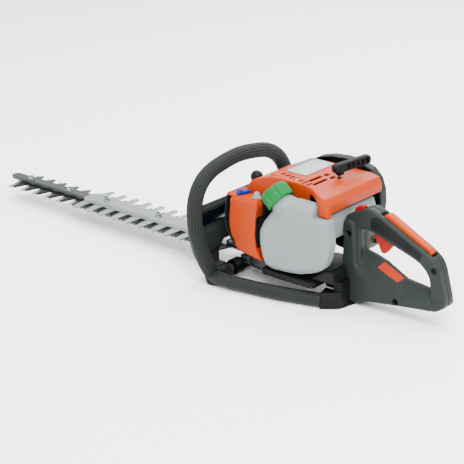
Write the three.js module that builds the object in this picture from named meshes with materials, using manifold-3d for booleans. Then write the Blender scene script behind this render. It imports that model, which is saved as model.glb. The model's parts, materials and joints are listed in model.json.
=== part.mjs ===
// Petrol hedge trimmer with two reciprocating blades, a vertical two-stroke engine, a wrap-round front
// handle and a loop rear handle. Millimetres; +X towards the blade tip, +Y to the operator's left, +Z up.
// Every piece is laid out from the crank axis (X 0, Y 0) and from a level DATUM_Z below the ground. The whole
// machine is then set back by MIDDLE_X and down by DATUM_Z, so that the origin is on the ground under the
// middle of its box.
import * as THREE from "three";
import { mergeVertices } from "three/addons/utils/BufferGeometryUtils.js";
import Module from "manifold-3d";

const wasm = await Module();
wasm.setup();

// ---------------------------------------------------------------- driving dimensions
const MIDDLE_X = 225;
const DATUM_Z = 10;
const GAP = 0.3; // between pieces that touch

// cutter bar
const TOOTH_PITCH = 35;
const TOOTH_COUNT = 17;
const TOOTH_TIP_Y = 43;
const TOOTH_ROOT_Y = 13;
const UPPER_FRONT_TOOTH_X = 726.5;
const LOWER_FRONT_TOOTH_X = 739.5;
const BLADE_THICKNESS = 2.5;
const LOWER_BLADE_Z = 42.7;
const UPPER_BLADE_Z = LOWER_BLADE_Z + BLADE_THICKNESS + GAP;
const BAR_Z = UPPER_BLADE_Z + BLADE_THICKNESS + GAP;
const BAR_TOP_Z = BAR_Z + 8;
const BAR_HALF_WIDTH = 11.5;
const BAR_REAR_X = 98;
const BAR_TIP_X = 770;
const BOLT_X = [716, 601, 497, 354];
const BOLT_RADIUS = 3;
const STROKE = 17.5;
const SHORT_OF_DEAD_CENTRE = 2; // both blades rest this far before the end of their stroke

// comb guard
const COMB_FRONT_TOOTH_X = 534;
const COMB_TOOTH_COUNT = 11;
const COMB_TIP_Y = 60;
const COMB_TOP_Z = BAR_TOP_Z + GAP + 1.8;

// reduction gear
const MODULE = 2;
const PINION_TEETH = 10;
const GEAR_TEETH = 36;
const GEAR_X = (MODULE * (PINION_TEETH + GEAR_TEETH)) / 2;
const ECCENTRIC_RADIUS = 15;
const ECCENTRIC_THROW = STROKE / 2;
const GEAR_SHAFT_RADIUS = 5;
const GEAR_Z = [50, 58];
const GEARBOX_Z = [37.3, 64];

// engine
const CRANK_THROW = 13;
const CRANK_RADIUS = 6;
const CONROD_Z = [111, 118];
const CYLINDER_Z = 114.5;
const BORE_RADIUS = 17.3;
const PISTON_RADIUS = 17;
const WRIST_PIN_Y = -61;
const CRANKCASE_HALF = 34;
const PULLEY_RADIUS = 28;
const ROPE_PLACE = [-62, -28];

// handles
const LOOP_RADIUS = 14.5;
const LOOP_X = 122;
const LOOP_LEAN = 0.12;
const RAIL_RADIUS = 13;

// ---------------------------------------------------------------- materials
const paint = (color, roughness, metalness = 0) =>
  new THREE.MeshStandardMaterial({ color, roughness, metalness });
const ORANGE = () => paint(0xe86923, 0.45);
const DARK = () => paint(0x3a403d, 0.6);
const BLACK = () => paint(0x1c2220, 0.55);
const RUBBER = () => paint(0x343a37, 0.85);
const STEEL = () => paint(0x4b5050, 0.35, 0.9);
const BRIGHT = () => paint(0xb9cfcb, 0.3, 0.9);
const CAST = () => paint(0x9a9fa0, 0.5, 0.7);
const TRIM_RED = () => paint(0xc23a30, 0.5);

// ---------------------------------------------------------------- solids
function toSolid(geometry) {
  const bare = geometry.clone();
  bare.deleteAttribute("normal");
  bare.deleteAttribute("uv");
  const merged = mergeVertices(bare, 1e-4);
  const corners = merged.index.array;
  const kept = [];
  for (let i = 0; i < corners.length; i += 3) {
    const [a, b, c] = [corners[i], corners[i + 1], corners[i + 2]];
    if (a !== b && b !== c && c !== a) kept.push(a, b, c);
  }
  const vertProperties = merged.attributes.position.array;
  return new wasm.Manifold(new wasm.Mesh({ numProp: 3, vertProperties, triVerts: new Uint32Array(kept) }));
}

function toGeometry(solid) {
  const mesh = solid.getMesh();
  const geometry = new THREE.BufferGeometry();
  geometry.setAttribute("position", new THREE.BufferAttribute(mesh.vertProperties, 3));
  geometry.setIndex(new THREE.BufferAttribute(mesh.triVerts, 1));
  geometry.computeVertexNormals();
  return geometry;
}

const join = (...parts) => toGeometry(parts.map(toSolid).reduce((a, b) => a.add(b)));
const cut = (base, ...tools) =>
  toGeometry(tools.map(toSolid).reduce((a, b) => a.subtract(b), toSolid(base)));
const common = (a, b) => toGeometry(toSolid(a).intersect(toSolid(b)));

// ---------------------------------------------------------------- shapes
function box([x0, x1], [y0, y1], [z0, z1]) {
  const geometry = new THREE.BoxGeometry(x1 - x0, y1 - y0, z1 - z0);
  return geometry.translate((x0 + x1) / 2, (y0 + y1) / 2, (z0 + z1) / 2);
}

function rodZ(radius, [z0, z1], x = 0, y = 0, sides = 16) {
  const geometry = new THREE.CylinderGeometry(radius, radius, z1 - z0, sides);
  return geometry.rotateX(Math.PI / 2).translate(x, y, (z0 + z1) / 2);
}

function rodY(radius, [y0, y1], x, z, sides = 16) {
  const geometry = new THREE.CylinderGeometry(radius, radius, y1 - y0, sides);
  return geometry.translate(x, (y0 + y1) / 2, z);
}

function rodX(radius, [x0, x1], y, z, sides = 16) {
  const geometry = new THREE.CylinderGeometry(radius, radius, x1 - x0, sides);
  return geometry.rotateZ(Math.PI / 2).translate((x0 + x1) / 2, y, z);
}

// A closed polygon through corners [x, y] or [x, y, radius]; a corner with a radius is rounded off in steps.
function rounded(corners, steps) {
  const count = corners.length;
  const points = corners.flatMap(([x, y, radius = 0], i) => {
    const corner = new THREE.Vector2(x, y);
    if (!radius) return [corner];
    const reach = (other) => {
      const edge = new THREE.Vector2(other[0], other[1]).sub(corner);
      return edge.setLength(Math.min(radius, edge.length() / 2)).add(corner);
    };
    const entry = reach(corners[(i + count - 1) % count]);
    const exit = reach(corners[(i + 1) % count]);
    return new THREE.QuadraticBezierCurve(entry, corner, exit).getPoints(steps);
  });
  return points.filter((point, i) => point.distanceTo(points[(i + 1) % points.length]) > 1e-3);
}

const ROUND_STEPS = 2;
function outline(corners, holes = [], steps = ROUND_STEPS) {
  const shape = new THREE.Shape(rounded(corners, steps));
  shape.holes = holes.map((hole) => new THREE.Path(rounded(hole, steps)));
  return shape;
}

// Extrusions of an outline: layer lies in XY, slab stands in XZ, wall stands in YZ.
// Their edges are rounded off by soft, within the given span.
function extrude(shape, depth, soft) {
  const bevel = { bevelThickness: soft, bevelSize: soft, bevelOffset: -soft, bevelSegments: 1 };
  const options = { depth: depth - 2 * soft, bevelEnabled: soft > 0, ...bevel };
  return new THREE.ExtrudeGeometry(shape, options).translate(0, 0, soft);
}

function layer(shape, [z0, z1], soft = 0) {
  return extrude(shape, z1 - z0, soft).translate(0, 0, z0);
}

function slab(shape, [y0, y1], soft = 0) {
  return extrude(shape, y1 - y0, soft).rotateX(Math.PI / 2).translate(0, y1, 0);
}

function wall(shape, [x0, x1], soft = 0) {
  const [x, y, z] = [new THREE.Vector3(1, 0, 0), new THREE.Vector3(0, 1, 0), new THREE.Vector3(0, 0, 1)];
  const standing = new THREE.Matrix4().makeBasis(y, z, x);
  return extrude(shape, x1 - x0, soft).applyMatrix4(standing).translate(x0, 0, 0);
}

function polygon(radius, sides, start = 0) {
  return Array.from({ length: sides }, (_, i) => {
    const angle = start + (2 * Math.PI * i) / sides;
    return new THREE.Vector2(radius * Math.cos(angle), radius * Math.sin(angle));
  });
}

function tube(points, radius, sides, steps) {
  const route = new THREE.CatmullRomCurve3(points.map((p) => new THREE.Vector3(...p)));
  const section = new THREE.Shape(polygon(radius, sides));
  return new THREE.ExtrudeGeometry(section, { steps, extrudePath: route, bevelEnabled: false });
}

function coil(radius, wire, turns, length, sides = 4, stepsPerTurn = 8) {
  const count = Math.round(turns * 8);
  const points = Array.from({ length: count + 1 }, (_, i) => {
    const angle = (2 * Math.PI * turns * i) / count;
    return [radius * Math.cos(angle), radius * Math.sin(angle), wire + ((length - 2 * wire) * i) / count];
  });
  return tube(points, wire, sides, Math.round(turns * stepsPerTurn));
}

// A body of revolution about Z; the profile runs [radius, z] from the bottom to the top.
function turned(profile, sides = 24) {
  const points = profile.map(([radius, z]) => new THREE.Vector2(radius, z));
  return new THREE.LatheGeometry(points, sides).rotateX(Math.PI / 2);
}

const mirrored = (points) => [...points, ...points.map(([x, y, r]) => [x, -y, r]).reverse()];
const stadium = (x0, x1, half) => [
  [x0 - half, -half, half],
  [x1 + half, -half, half],
  [x1 + half, half, half],
  [x0 - half, half, half],
];

// ---------------------------------------------------------------- the assembly
const machine = new THREE.Group();
machine.position.set(-MIDDLE_X, 0, -DATUM_Z);

function piece(name, geometry, material) {
  const mesh = new THREE.Mesh(toGeometry(toSolid(geometry)), material);
  mesh.name = name;
  machine.add(mesh);
  return mesh;
}

// ---------------------------------------------------------------- cutter bar
// One edge of a blade from the tip back: hooked teeth that taper to a blunt tip, with round gullets.
function bladeEdge(frontToothX) {
  const edge = [[frontToothX + 12, 7, 3]];
  for (let i = 0; i < TOOTH_COUNT; i += 1) {
    const x = frontToothX - i * TOOTH_PITCH;
    edge.push([x + 7.5, TOOTH_ROOT_Y], [x + 2.5, TOOTH_TIP_Y], [x - 4, TOOTH_TIP_Y], [x - 13, TOOTH_ROOT_Y]);
  }
  edge.push([122, TOOTH_ROOT_Y], [118, 10]);
  return edge;
}

// A blade ends in a yoke, open enough for its eccentric to turn at any place of the blade.
// reach says how far the blade travels forwards and backwards from rest.
function blade(name, z, frontToothX, [back, forward]) {
  const clear = ECCENTRIC_THROW + ECCENTRIC_RADIUS + 0.6;
  const yokeRear = GEAR_X - forward;
  const yokeFront = GEAR_X - back;
  const span = [z, z + BLADE_THICKNESS];
  const strip = layer(outline(mirrored(bladeEdge(frontToothX))), span);
  const neck = box([yokeFront + clear, 120], [-10, 10], span);
  const yoke = layer(outline(stadium(yokeRear, yokeFront, clear + 4.5), [], 4), span);
  const yokeHole = layer(outline(stadium(yokeRear, yokeFront, clear), [], 4), [z - 1, z + 4]);
  const slots = BOLT_X.map((x) =>
    layer(outline(stadium(x - forward, x - back, BOLT_RADIUS + 0.5)), [z - 1, z + 4]),
  );
  piece(name, cut(join(strip, neck, yoke), yokeHole, ...slots), STEEL());
}

const FORWARD_TRAVEL = STROKE - SHORT_OF_DEAD_CENTRE;
blade("upper_blade", UPPER_BLADE_Z, UPPER_FRONT_TOOTH_X, [-SHORT_OF_DEAD_CENTRE, FORWARD_TRAVEL]);
blade("lower_blade", LOWER_BLADE_Z, LOWER_FRONT_TOOTH_X, [-FORWARD_TRAVEL, SHORT_OF_DEAD_CENTRE]);

const boltHoles = (radius, span) => BOLT_X.map((x) => rodZ(radius, span, x, 0, 12));

function guideBar() {
  const plan = outline(mirrored([
    [BAR_TIP_X, 9.5, 7],
    [BAR_TIP_X - 18, BAR_HALF_WIDTH, 4],
    [BAR_REAR_X, BAR_HALF_WIDTH],
  ]));
  const bar = layer(plan, [BAR_Z, BAR_TOP_Z], 0.8);
  piece("guide_bar", cut(bar, ...boltHoles(BOLT_RADIUS + GAP, [40, 60])), paint(0x8a8e8b, 0.35, 0.85));
}
guideBar();

function combGuard() {
  const rear = COMB_FRONT_TOOTH_X - (COMB_TOOTH_COUNT - 1) * TOOTH_PITCH - 18;
  const front = COMB_FRONT_TOOTH_X + 12;
  const edge = [[front, 15.5, 3]];
  for (let i = 0; i < COMB_TOOTH_COUNT; i += 1) {
    const x = COMB_FRONT_TOOTH_X - i * TOOTH_PITCH;
    edge.push([x + 10, 16], [x + 5.5, COMB_TIP_Y, 4], [x - 5.5, COMB_TIP_Y, 4], [x - 9, 16]);
  }
  edge.push([rear, 16]);
  const comb = layer(outline(mirrored(edge)), [BAR_Z, BAR_Z + 3]);
  const channel = box([rear, front - 2], [-15.5, 15.5], [BAR_Z, COMB_TOP_Z]);
  const room = box([rear - 5, front + 5], [-BAR_HALF_WIDTH - GAP, BAR_HALF_WIDTH + GAP], [BAR_Z - 1, BAR_TOP_Z + GAP]);
  const holes = boltHoles(BOLT_RADIUS + GAP, [BAR_TOP_Z, COMB_TOP_Z + 1]);
  piece("comb_guard", cut(join(comb, channel), room, ...holes), paint(0xc0c6c4, 0.5));
}
combGuard();

BOLT_X.forEach((x, i) => {
  const seat = (x < COMB_FRONT_TOOTH_X ? COMB_TOP_Z : BAR_TOP_Z) + GAP;
  const head = turned([[0, 37.6], [4.5, 37.6], [7, 39.4], [7, LOWER_BLADE_Z - GAP], [0, LOWER_BLADE_Z - GAP]], 12);
  const shank = rodZ(BOLT_RADIUS, [LOWER_BLADE_Z - 1, seat + 6.5], 0, 0, 12);
  piece(`blade_bolt_${i + 1}`, join(head, shank).translate(x, 0, 0), STEEL());
  const flange = rodZ(8, [seat, seat + 1.4], 0, 0, 16);
  const hexagon = rodZ(5.8, [seat + 1, seat + 5.2], 0, 0, 6);
  const nut = cut(join(flange, hexagon), rodZ(BOLT_RADIUS + GAP, [seat - 1, seat + 9], 0, 0, 12));
  piece(`blade_nut_${i + 1}`, nut.translate(x, 0, 0), BRIGHT());
});

// ---------------------------------------------------------------- reduction gear
function gearOutline(teeth, firstTooth) {
  const pitchRadius = (MODULE * teeth) / 2;
  const share = (2 * Math.PI) / teeth;
  const corners = [];
  for (let i = 0; i < teeth; i += 1) {
    const middle = firstTooth + i * share;
    const steps = [[-0.26, -1.25], [-0.12, 1], [0.12, 1], [0.26, -1.25]];
    steps.forEach(([turn, height]) => {
      const radius = pitchRadius + MODULE * height;
      corners.push([radius * Math.cos(middle + turn * share), radius * Math.sin(middle + turn * share)]);
    });
  }
  return outline(corners);
}

function gearTrain() {
  const halfTooth = Math.PI / GEAR_TEETH;
  const wheel = layer(gearOutline(GEAR_TEETH, halfTooth), GEAR_Z).translate(GEAR_X, 0, 0);
  const bore = rodZ(GEAR_SHAFT_RADIUS + GAP, [40, 70], GEAR_X, 0);
  const windows = [0, 1, 2].map((i) => {
    const angle = (2 * Math.PI * i) / 3;
    return rodZ(7.5, [45, 65], GEAR_X + 20 * Math.cos(angle), 20 * Math.sin(angle), 10);
  });
  piece("drive_gear", cut(wheel, bore, ...windows), STEEL());

  const fromMiddle = STROKE / 2 - SHORT_OF_DEAD_CENTRE;
  const angle = Math.acos(-fromMiddle / ECCENTRIC_THROW);
  const [dx, dy] = [ECCENTRIC_THROW * Math.cos(angle), ECCENTRIC_THROW * Math.sin(angle)];
  const upper = rodZ(ECCENTRIC_RADIUS, [UPPER_BLADE_Z, UPPER_BLADE_Z + BLADE_THICKNESS], GEAR_X + dx, dy, 20);
  const lower = rodZ(ECCENTRIC_RADIUS, [LOWER_BLADE_Z, LOWER_BLADE_Z + BLADE_THICKNESS], GEAR_X - dx, -dy, 20);
  const shaft = rodZ(GEAR_SHAFT_RADIUS, [33.5, 63.5], GEAR_X, 0);
  const web = rodZ(GEAR_SHAFT_RADIUS + 1, [LOWER_BLADE_Z, 48.5], GEAR_X, 0);
  piece("eccentric_shaft", join(shaft, web, upper, lower), STEEL());
}
gearTrain();

// The drum is a cup that the clutch shoes grip from inside; its pinion hangs below it.
function clutch() {
  const pinion = layer(gearOutline(PINION_TEETH, 0), GEAR_Z);
  const neck = rodZ(6, [GEAR_Z[1] - 1, 67]);
  const cup = turned([[0, 66], [29, 66], [29, 80], [27, 80], [27, 68], [0, 68]], 24);
  piece("clutch_drum", join(pinion, neck, cup), STEEL());
  const hub = rodZ(25.5, [69, 79], 0, 0, 24);
  const slots = [0, 1, 2].map((i) =>
    box([12, 30], [-1.6, 1.6], [60, 90]).rotateZ((2 * Math.PI * i) / 3),
  );
  piece("clutch_shoes", cut(hub, rodZ(CRANK_RADIUS + GAP, [60, 90]), ...slots), CAST());
}
clutch();

function gearbox() {
  const plan = [[108, 20, 4], [96, 34, 8], [70, 46, 16], [22, 46, 16], [-24, 36, 16]];
  const outer = layer(outline(mirrored(plan)), GEARBOX_Z, 2);
  const chamber = rodZ(41, [30, 60], GEAR_X, 0, 24);
  const yokeRoom = box([-6, 95], [-31, 31], [30, 60]);
  const drumRoom = rodZ(15, [30, 60]);
  const neckSlot = box([90, 120], [-14.5, 14.5], [30, BAR_TOP_Z + GAP]);
  const shaftHole = rodZ(GEAR_SHAFT_RADIUS + 0.4, [50, 63.8], GEAR_X, 0);
  const pinionHole = rodZ(6.6, [50, 70]);
  const lugs = [1, -1].map((side) => box([86, 106], side > 0 ? [30, 46] : [-46, -30], [40, 54]));
  const housing = cut(join(outer, ...lugs), chamber, yokeRoom, drumRoom, neckSlot, shaftHole, pinionHole);
  piece("gearbox_housing", housing, CAST());
  const cover = layer(outline(mirrored(plan)), [33, GEARBOX_Z[0] - GAP]);
  piece("gearbox_cover", cut(cover, rodZ(GEAR_SHAFT_RADIUS + 0.4, [30, 40], GEAR_X, 0)), CAST());
}
gearbox();

// ---------------------------------------------------------------- engine
function engine() {
  const half = CRANKCASE_HALF;
  const block = layer(outline([[half, half, 9], [-half, half, 9], [-half, -half, 9], [half, -half, 9]]), [64.3, 138]);
  const clutchRoom = rodZ(31.5, [60, 84], 0, 0, 24);
  const crankRoom = rodZ(29, [90, 132], 0, 0, 24);
  const shaftRoom = rodZ(CRANK_RADIUS + 0.5, [80, 142]);
  const barrelMouth = rodY(BORE_RADIUS, [-40, -20], 0, CYLINDER_Z);
  piece("crankcase", cut(block, clutchRoom, crankRoom, shaftRoom, barrelMouth), CAST());

  const pinPlace = [0, -CRANK_THROW];
  const web = (span) => rodZ(24, span, 0, 0, 24);
  const lower = join(rodZ(CRANK_RADIUS, [68.6, 95]), web([93, 99]), rodZ(5, [98, CONROD_Z[0] - 0.4], ...pinPlace));
  piece("crankshaft_lower", lower, STEEL());
  const upper = join(rodZ(5, [CONROD_Z[1] + 0.4, 124], ...pinPlace), web([123, 129]), rodZ(CRANK_RADIUS, [128, 170]));
  piece("crankshaft_upper", upper, STEEL());

  const middle = (CONROD_Z[0] + CONROD_Z[1]) / 2;
  const bigEnd = rodZ(9, CONROD_Z, ...pinPlace);
  const smallEnd = rodZ(5.2, CONROD_Z, 0, WRIST_PIN_Y);
  const shank = box([-3.5, 3.5], [WRIST_PIN_Y, -CRANK_THROW], [middle - 2.5, middle + 2.5]);
  const eyes = [rodZ(5.6, [100, 130], ...pinPlace), rodZ(3.5 + GAP, [100, 130], 0, WRIST_PIN_Y)];
  piece("connecting_rod", cut(join(bigEnd, smallEnd, shank), ...eyes), CAST());

  const skirt = rodY(PISTON_RADIUS, [-70, -53.5], 0, CYLINDER_Z, 24);
  const hollow = rodY(13.5, [-66.5, -50], 0, CYLINDER_Z, 24);
  const pin = rodZ(3.5, [CYLINDER_Z - 15, CYLINDER_Z + 15], 0, WRIST_PIN_Y, 16);
  piece("piston", join(cut(skirt, hollow), pin), CAST());

  const core = box([-24, 24], [-82, -half - GAP], [90.5, 138.5]);
  const fins = Array.from({ length: 7 }, (_, i) => box([-33, 33], [-46 - i * 6, -44 - i * 6], [82, 147]));
  const ports = [box([20, 34], [-62, -40], [104, 125]), box([-34, -20], [-62, -40], [104, 125])];
  const bore = rodY(BORE_RADIUS, [-73, -20], 0, CYLINDER_Z, 24);
  const plugHole = rodY(5.4, [-90, -70], 0, CYLINDER_Z, 16);
  piece("cylinder", cut(join(core, ...fins, ...ports), bore, plugHole), CAST());

  const thread = rodY(5, [-90, -75], 0, CYLINDER_Z, 16);
  const seat = rodY(9, [-87, -82.4], 0, CYLINDER_Z, 6);
  const insulator = rodY(4, [-100, -86], 0, CYLINDER_Z, 16);
  piece("spark_plug", join(thread, seat, insulator), paint(0xe6e6e0, 0.3));
  const boot = join(rodY(8, [-111, -91], 0, CYLINDER_Z, 20), rodZ(5, [CYLINDER_Z, CYLINDER_Z + 20], 0, -105, 16));
  piece("spark_plug_cap", cut(boot, rodY(4.4, [-101, -90], 0, CYLINDER_Z, 16)), BLACK());

  const can = slab(outline([[-38, 80, 8], [-38, 118, 8], [-98, 118, 8], [-98, 74, 8]]), [-114.5, -46], 5);
  const outlet = rodX(7, [-106, -94], -96, 92, 16);
  piece("muffler", join(can, outlet), paint(0x55585a, 0.6, 0.6));

  const flange = box([34 + GAP, 40], [-64, -38], [102, 127]);
  const mixer = box([39, 78], [-66, -36], [98, 131]);
  const throat = rodX(11, [77, 85.5], -51, CYLINDER_Z, 20);
  const bowl = rodZ(10, [90, 99], 60, -51, 20);
  const spindle = rodY(3, [-37, -28], 56, CYLINDER_Z, 12);
  const bore2 = rodX(8, [30, 90], -51, CYLINDER_Z, 20);
  piece("carburettor", cut(join(flange, mixer, throat, bowl, spindle), bore2), CAST());
}
engine();

// The flywheel is also the cooling fan: radial blades stand on its disc.
function flywheel() {
  const disc = turned([[0, 148], [40, 148], [46, 151], [46, 154], [14, 154], [14, 166], [0, 166]], 24);
  const blades = Array.from({ length: 12 }, (_, i) =>
    box([13, 44], [-1.2, 1.2], [153, 165]).rotateZ((Math.PI * i) / 6),
  );
  const bore = rodZ(CRANK_RADIUS + GAP, [140, 180]);
  piece("flywheel", cut(join(disc, ...blades), bore), CAST());
}
flywheel();

// ---------------------------------------------------------------- starter
const HOUSING_TOP_Z = 222;

function housingOutline(inset) {
  const i = inset;
  return outline([
    [-112 + i, 190],
    [-112 + i, HOUSING_TOP_Z - i, 26 - i],
    [38 - i, HOUSING_TOP_Z - i, 20],
    [88 - i, 203 - i, 8],
    [98 - i, 178],
    [-48, 178],
    [-48, 190],
  ]);
}

function starter() {
  const plan = (i) => outline([
    [-114 + i, -92 + i],
    [60, -92 + i, 12],
    [100 - i, -60, 12],
    [100 - i, 42 - i, 8],
    [-36, 42 - i, 14],
    [-66, 54 - i, 16],
    [-86, 74 - i, 12],
    [-114 + i, 76 - i, 10],
  ]);
  const top = common(slab(housingOutline(0), [-92, 80]), layer(plan(0), [150, 240]));
  const skirt = box([-113, -92], [63, 75], [183, 200]);
  const outer = join(top, skirt);
  const inner = common(slab(housingOutline(2.6), [-89, 80]), layer(plan(2.6), [150, 240]));
  const post = rodZ(6, [171, HOUSING_TOP_Z - 1]);
  const bottom = box([-46, 95.4], [-89, 39], [170, 180]);
  const rearBottom = box([-109, -46], [-89, 66], [185, 195]);
  const ventSlots = Array.from({ length: 5 }, (_, i) => box([-16 + i * 14, -10 + i * 14], [12, 30], [215, 225]));
  const ropeEye = rodZ(4, [200, 230], ...ROPE_PLACE, 12);
  const tankRoom = slab(outline([[-88.8, 150], [-88.8, 204.6], [-82, 209], [-20, 209], [-20, 150]]), [47, 90]);
  const room = cut(join(inner, bottom, rearBottom), post);
  piece("starter_housing", cut(outer, room, tankRoom, ...ventSlots, ropeEye), ORANGE());

  const groove = [[7, 172], [30, 172], [30, 174], [PULLEY_RADIUS, 176], [PULLEY_RADIUS, 179], [30, 181], [30, 183], [7, 183], [7, 172]];
  piece("starter_pulley", turned(groove, 24), BLACK());
  piece("recoil_spring", turned([[8, 185], [26, 185], [26, 193], [8, 193], [8, 185]], 20), STEEL());

  piece("starter_rope", rodZ(1.9, [194, 228.4], ...ROPE_PLACE, 8), paint(0xd8d8d2, 0.9));
}
starter();

// The pull handle is a flat bar with windows; the rope comes up into its left end.
function starterHandle() {
  const bar = slab(outline([[-14, -8.5, 7], [66, -8.5, 7], [66, 8.5, 7], [-14, 8.5, 7]]), [-7, 7], 2);
  const windows = Array.from({ length: 5 }, (_, i) =>
    box([12 + i * 10, 19 + i * 10], [-9, 9], [-5, 5]),
  );
  const boss = rodZ(8, [-12, 0]);
  const placed = cut(join(bar, boss), ...windows);
  placed.rotateY(-0.12).rotateZ(-1.92).translate(ROPE_PLACE[0], ROPE_PLACE[1], 241);
  piece("starter_handle", placed, BLACK());
}
starterHandle();

piece(
  "label_plate",
  layer(outline([[34, 2, 4], [-10, 2, 4], [-10, -86, 4], [34, -86, 4]]), [HOUSING_TOP_Z + GAP, HOUSING_TOP_Z + 1.3]),
  paint(0xc9d2d6, 0.4),
);

// ---------------------------------------------------------------- covers
function cylinderCover() {
  const side = (i) => outline([
    [72 - i, 100],
    [72 - i, 200 - i, 26],
    [36, 228 - i, 34],
    [-24, 238 - i, 40],
    [-88, 229 - i, 34],
    [-110 + i, 190, 26],
    [-106 + i, 124],
    [-60, 124],
    [-30, 100],
  ]);
  const outer = slab(side(0), [-118, -92 - GAP], 4);
  const inner = slab(side(3), [-115, -80]);
  const slots = Array.from({ length: 6 }, (_, i) => box([-40 + i * 14, -34 + i * 14], [-130, -110], [150, 205]));
  piece("cylinder_cover", cut(outer, inner, ...slots), DARK());
}
cylinderCover();

function airFilter() {
  const plan = (i) => outline([
    [136 - i, 58],
    [136 - i, -40 + i, 20],
    [112 - i, -64 + i, 8],
    [86 + i, -64 + i],
    [86 + i, 12 + i],
    [50 + i, 12 + i],
    [50 + i, 58],
  ]);
  const side = (i) => outline([
    [48, 66 + i],
    [106 - i, 66 + i, 8],
    [122 - i, 86 + i, 16],
    [137 - i, 108, 20],
    [137 - i, 138, 20],
    [130 - i, 177 - i, 8],
    [48, 177 - i],
  ]);
  const outer = common(layer(plan(0), [60, 180]), slab(side(0), [-70, 70]));
  const inner = common(layer(plan(3), [60, 180]), slab(side(3.5), [-70, 70])).translate(0, 1, 0);
  const throat = rodX(8, [80, 95], -51, CYLINDER_Z, 20);
  piece("air_filter_housing", cut(outer, inner, throat), DARK());
  piece("air_filter", box([62, 104], [22, 52], [78, 160]), paint(0x6a6a62, 0.95));

  const face = [[29, 68, 6], [88, 77, 10], [101, 96, 8], [109, 128, 12], [104, 178, 6], [43, 178, 6]];
  const inset = [[42, 74], [87, 81, 8], [98, 98, 6], [105.5, 128, 10], [101, 175], [46, 175]];
  const shell = cut(slab(outline(face), [58 + GAP, 80], 3), slab(outline(inset), [50, 76.5]));
  const top = layer(outline([[114, 76, 5], [114, 26, 6], [102, 26, 4], [102, 45, 4], [46, 45, 4], [46, 76, 5]]), [177.6, 181]);
  const bridge = box([52, 100], [66, 74], [174, 178]);
  piece("air_filter_cover", join(shell, top, bridge), ORANGE());
}
airFilter();

function controls() {
  const grip = turned([[0, 177.6], [4, 177.6], [4, 184], [8, 187], [12, 193], [12, 198], [8, 204], [0, 207]], 20);
  piece("cover_knob", grip.translate(105, 0, 0), BLACK());
  const lever = layer(outline([[-6, -5, 4], [22, -4, 3], [22, 4, 3], [-6, 5, 4]]), [181.4, 187], 1);
  piece("choke_lever", join(lever, rodZ(5, [182, 190], 0, 0, 16)).rotateZ(-1.95).translate(92, 66, 0), paint(0x1a55a0, 0.4));
  const dome = turned([[0, 181.3], [9, 181.3], [9, 184], [7, 189], [3.5, 192], [0, 192.6]], 20);
  piece("primer_bulb", dome.translate(57, 60, 0), paint(0x9aa0a2, 0.4));
}
controls();

// ---------------------------------------------------------------- fuel tank
const CAP_AXIS_TILT = Math.atan2(0.78, 0.667);
const NECK_PLACE = [-11, 70, 189];

function along(geometry, [x, y, z]) {
  return geometry.rotateY(CAP_AXIS_TILT).translate(x, y, z);
}

function fuelTank() {
  const side = (i) => outline([
    [22 - i, 61 + i, 20],
    [39 - i, 130, 24],
    [-18, 204 - i, 24],
    [-112 + i, 204 - i, 30],
    [-124 + i, 136, 16],
    [-112 + i, 88 + i, 16],
    [-60, 66 + i, 24],
  ]);
  const housingRoom = (i) => box([-140, -88.4 + i], [40, 100], [182.4 - i, 230]);
  const main = cut(slab(side(0), [50, 91], 11), housingRoom(0));
  const rear = slab(outline([[-56, 130, 10], [-56, 186, 10], [-106, 186, 20], [-106, 130, 14]]), [-88, 60], 5);
  const mainRoom = cut(slab(side(2.5), [52.5, 88.5], 10), housingRoom(2.5));
  const rearRoom = slab(outline([[-58.5, 133], [-58.5, 183], [-103.5, 183, 18], [-103.5, 133, 10]]), [-85, 66]);
  const neck = along(rodZ(20.5, [-14, 15], 0, 0, 28), NECK_PLACE);
  const neckHole = along(rodZ(17, [-24, 18], 0, 0, 28), NECK_PLACE);
  piece("fuel_tank", cut(join(main, rear, neck), mainRoom, rearRoom, neckHole), paint(0xa3abad, 0.35));

  const flutes = [];
  for (let i = 0; i < 12; i += 1) {
    const angle = (turn) => (Math.PI * (i + turn)) / 6;
    [[0, 27], [0.62, 27], [0.68, 24.5], [0.94, 24.5]].forEach(([turn, radius]) => {
      flutes.push([radius * Math.cos(angle(turn)), radius * Math.sin(angle(turn))]);
    });
  }
  const knurl = layer(outline(flutes), [4, 33]);
  const socket = rodZ(21, [0, 16], 0, 0, 28);
  piece("fuel_cap", along(cut(knurl, socket), NECK_PLACE), paint(0x0aaa6a, 0.4));
}
fuelTank();

// Tray under the tank and behind the gearbox, which carries the rear springs.
function engineBase() {
  const plan = [[-88, -70, 8], [-88, 82, 8], [30, 82, 8], [30, 50, 4], [-27, 50, 4], [-27, -70, 8]];
  piece("engine_base", layer(outline(plan), [46, 59], 2), BLACK());
}
engineBase();

// ---------------------------------------------------------------- handle frame
const loopX = (z) => LOOP_X + LOOP_LEAN * z;
const loopSide = [
  [100, 6],
  [106, 30],
  [121, 58],
  [133, 95],
  [138, 130],
  [134, 166],
  [116, 197],
  [86, 216],
  [46, 225],
];

const FRONT_SPRING_PLACE = [104, 37];

function frontHandle() {
  const left = loopSide.map(([y, z]) => [loopX(z), y, z]);
  const right = left.map(([x, y, z]) => [x, -y, z]).reverse();
  const bent = tube([...left, [loopX(229), 0, 229], ...right], LOOP_RADIUS, 10, 46);
  piece("front_handle", cut(bent, box([60, 200], [-160, 160], [-30, DATUM_Z])), RUBBER());

  const bar = box([121, 136.5], [-84, 84], [12, 30]);
  const ears = [1, -1].map((side) => {
    const thickness = side > 0 ? [76, 82] : [-82, -76];
    return join(rodY(9, thickness, ...FRONT_SPRING_PLACE), box([98, 124], thickness, [14, 34]));
  });
  piece("front_bracket", join(bar, ...ears), DARK());
}
frontHandle();

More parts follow.
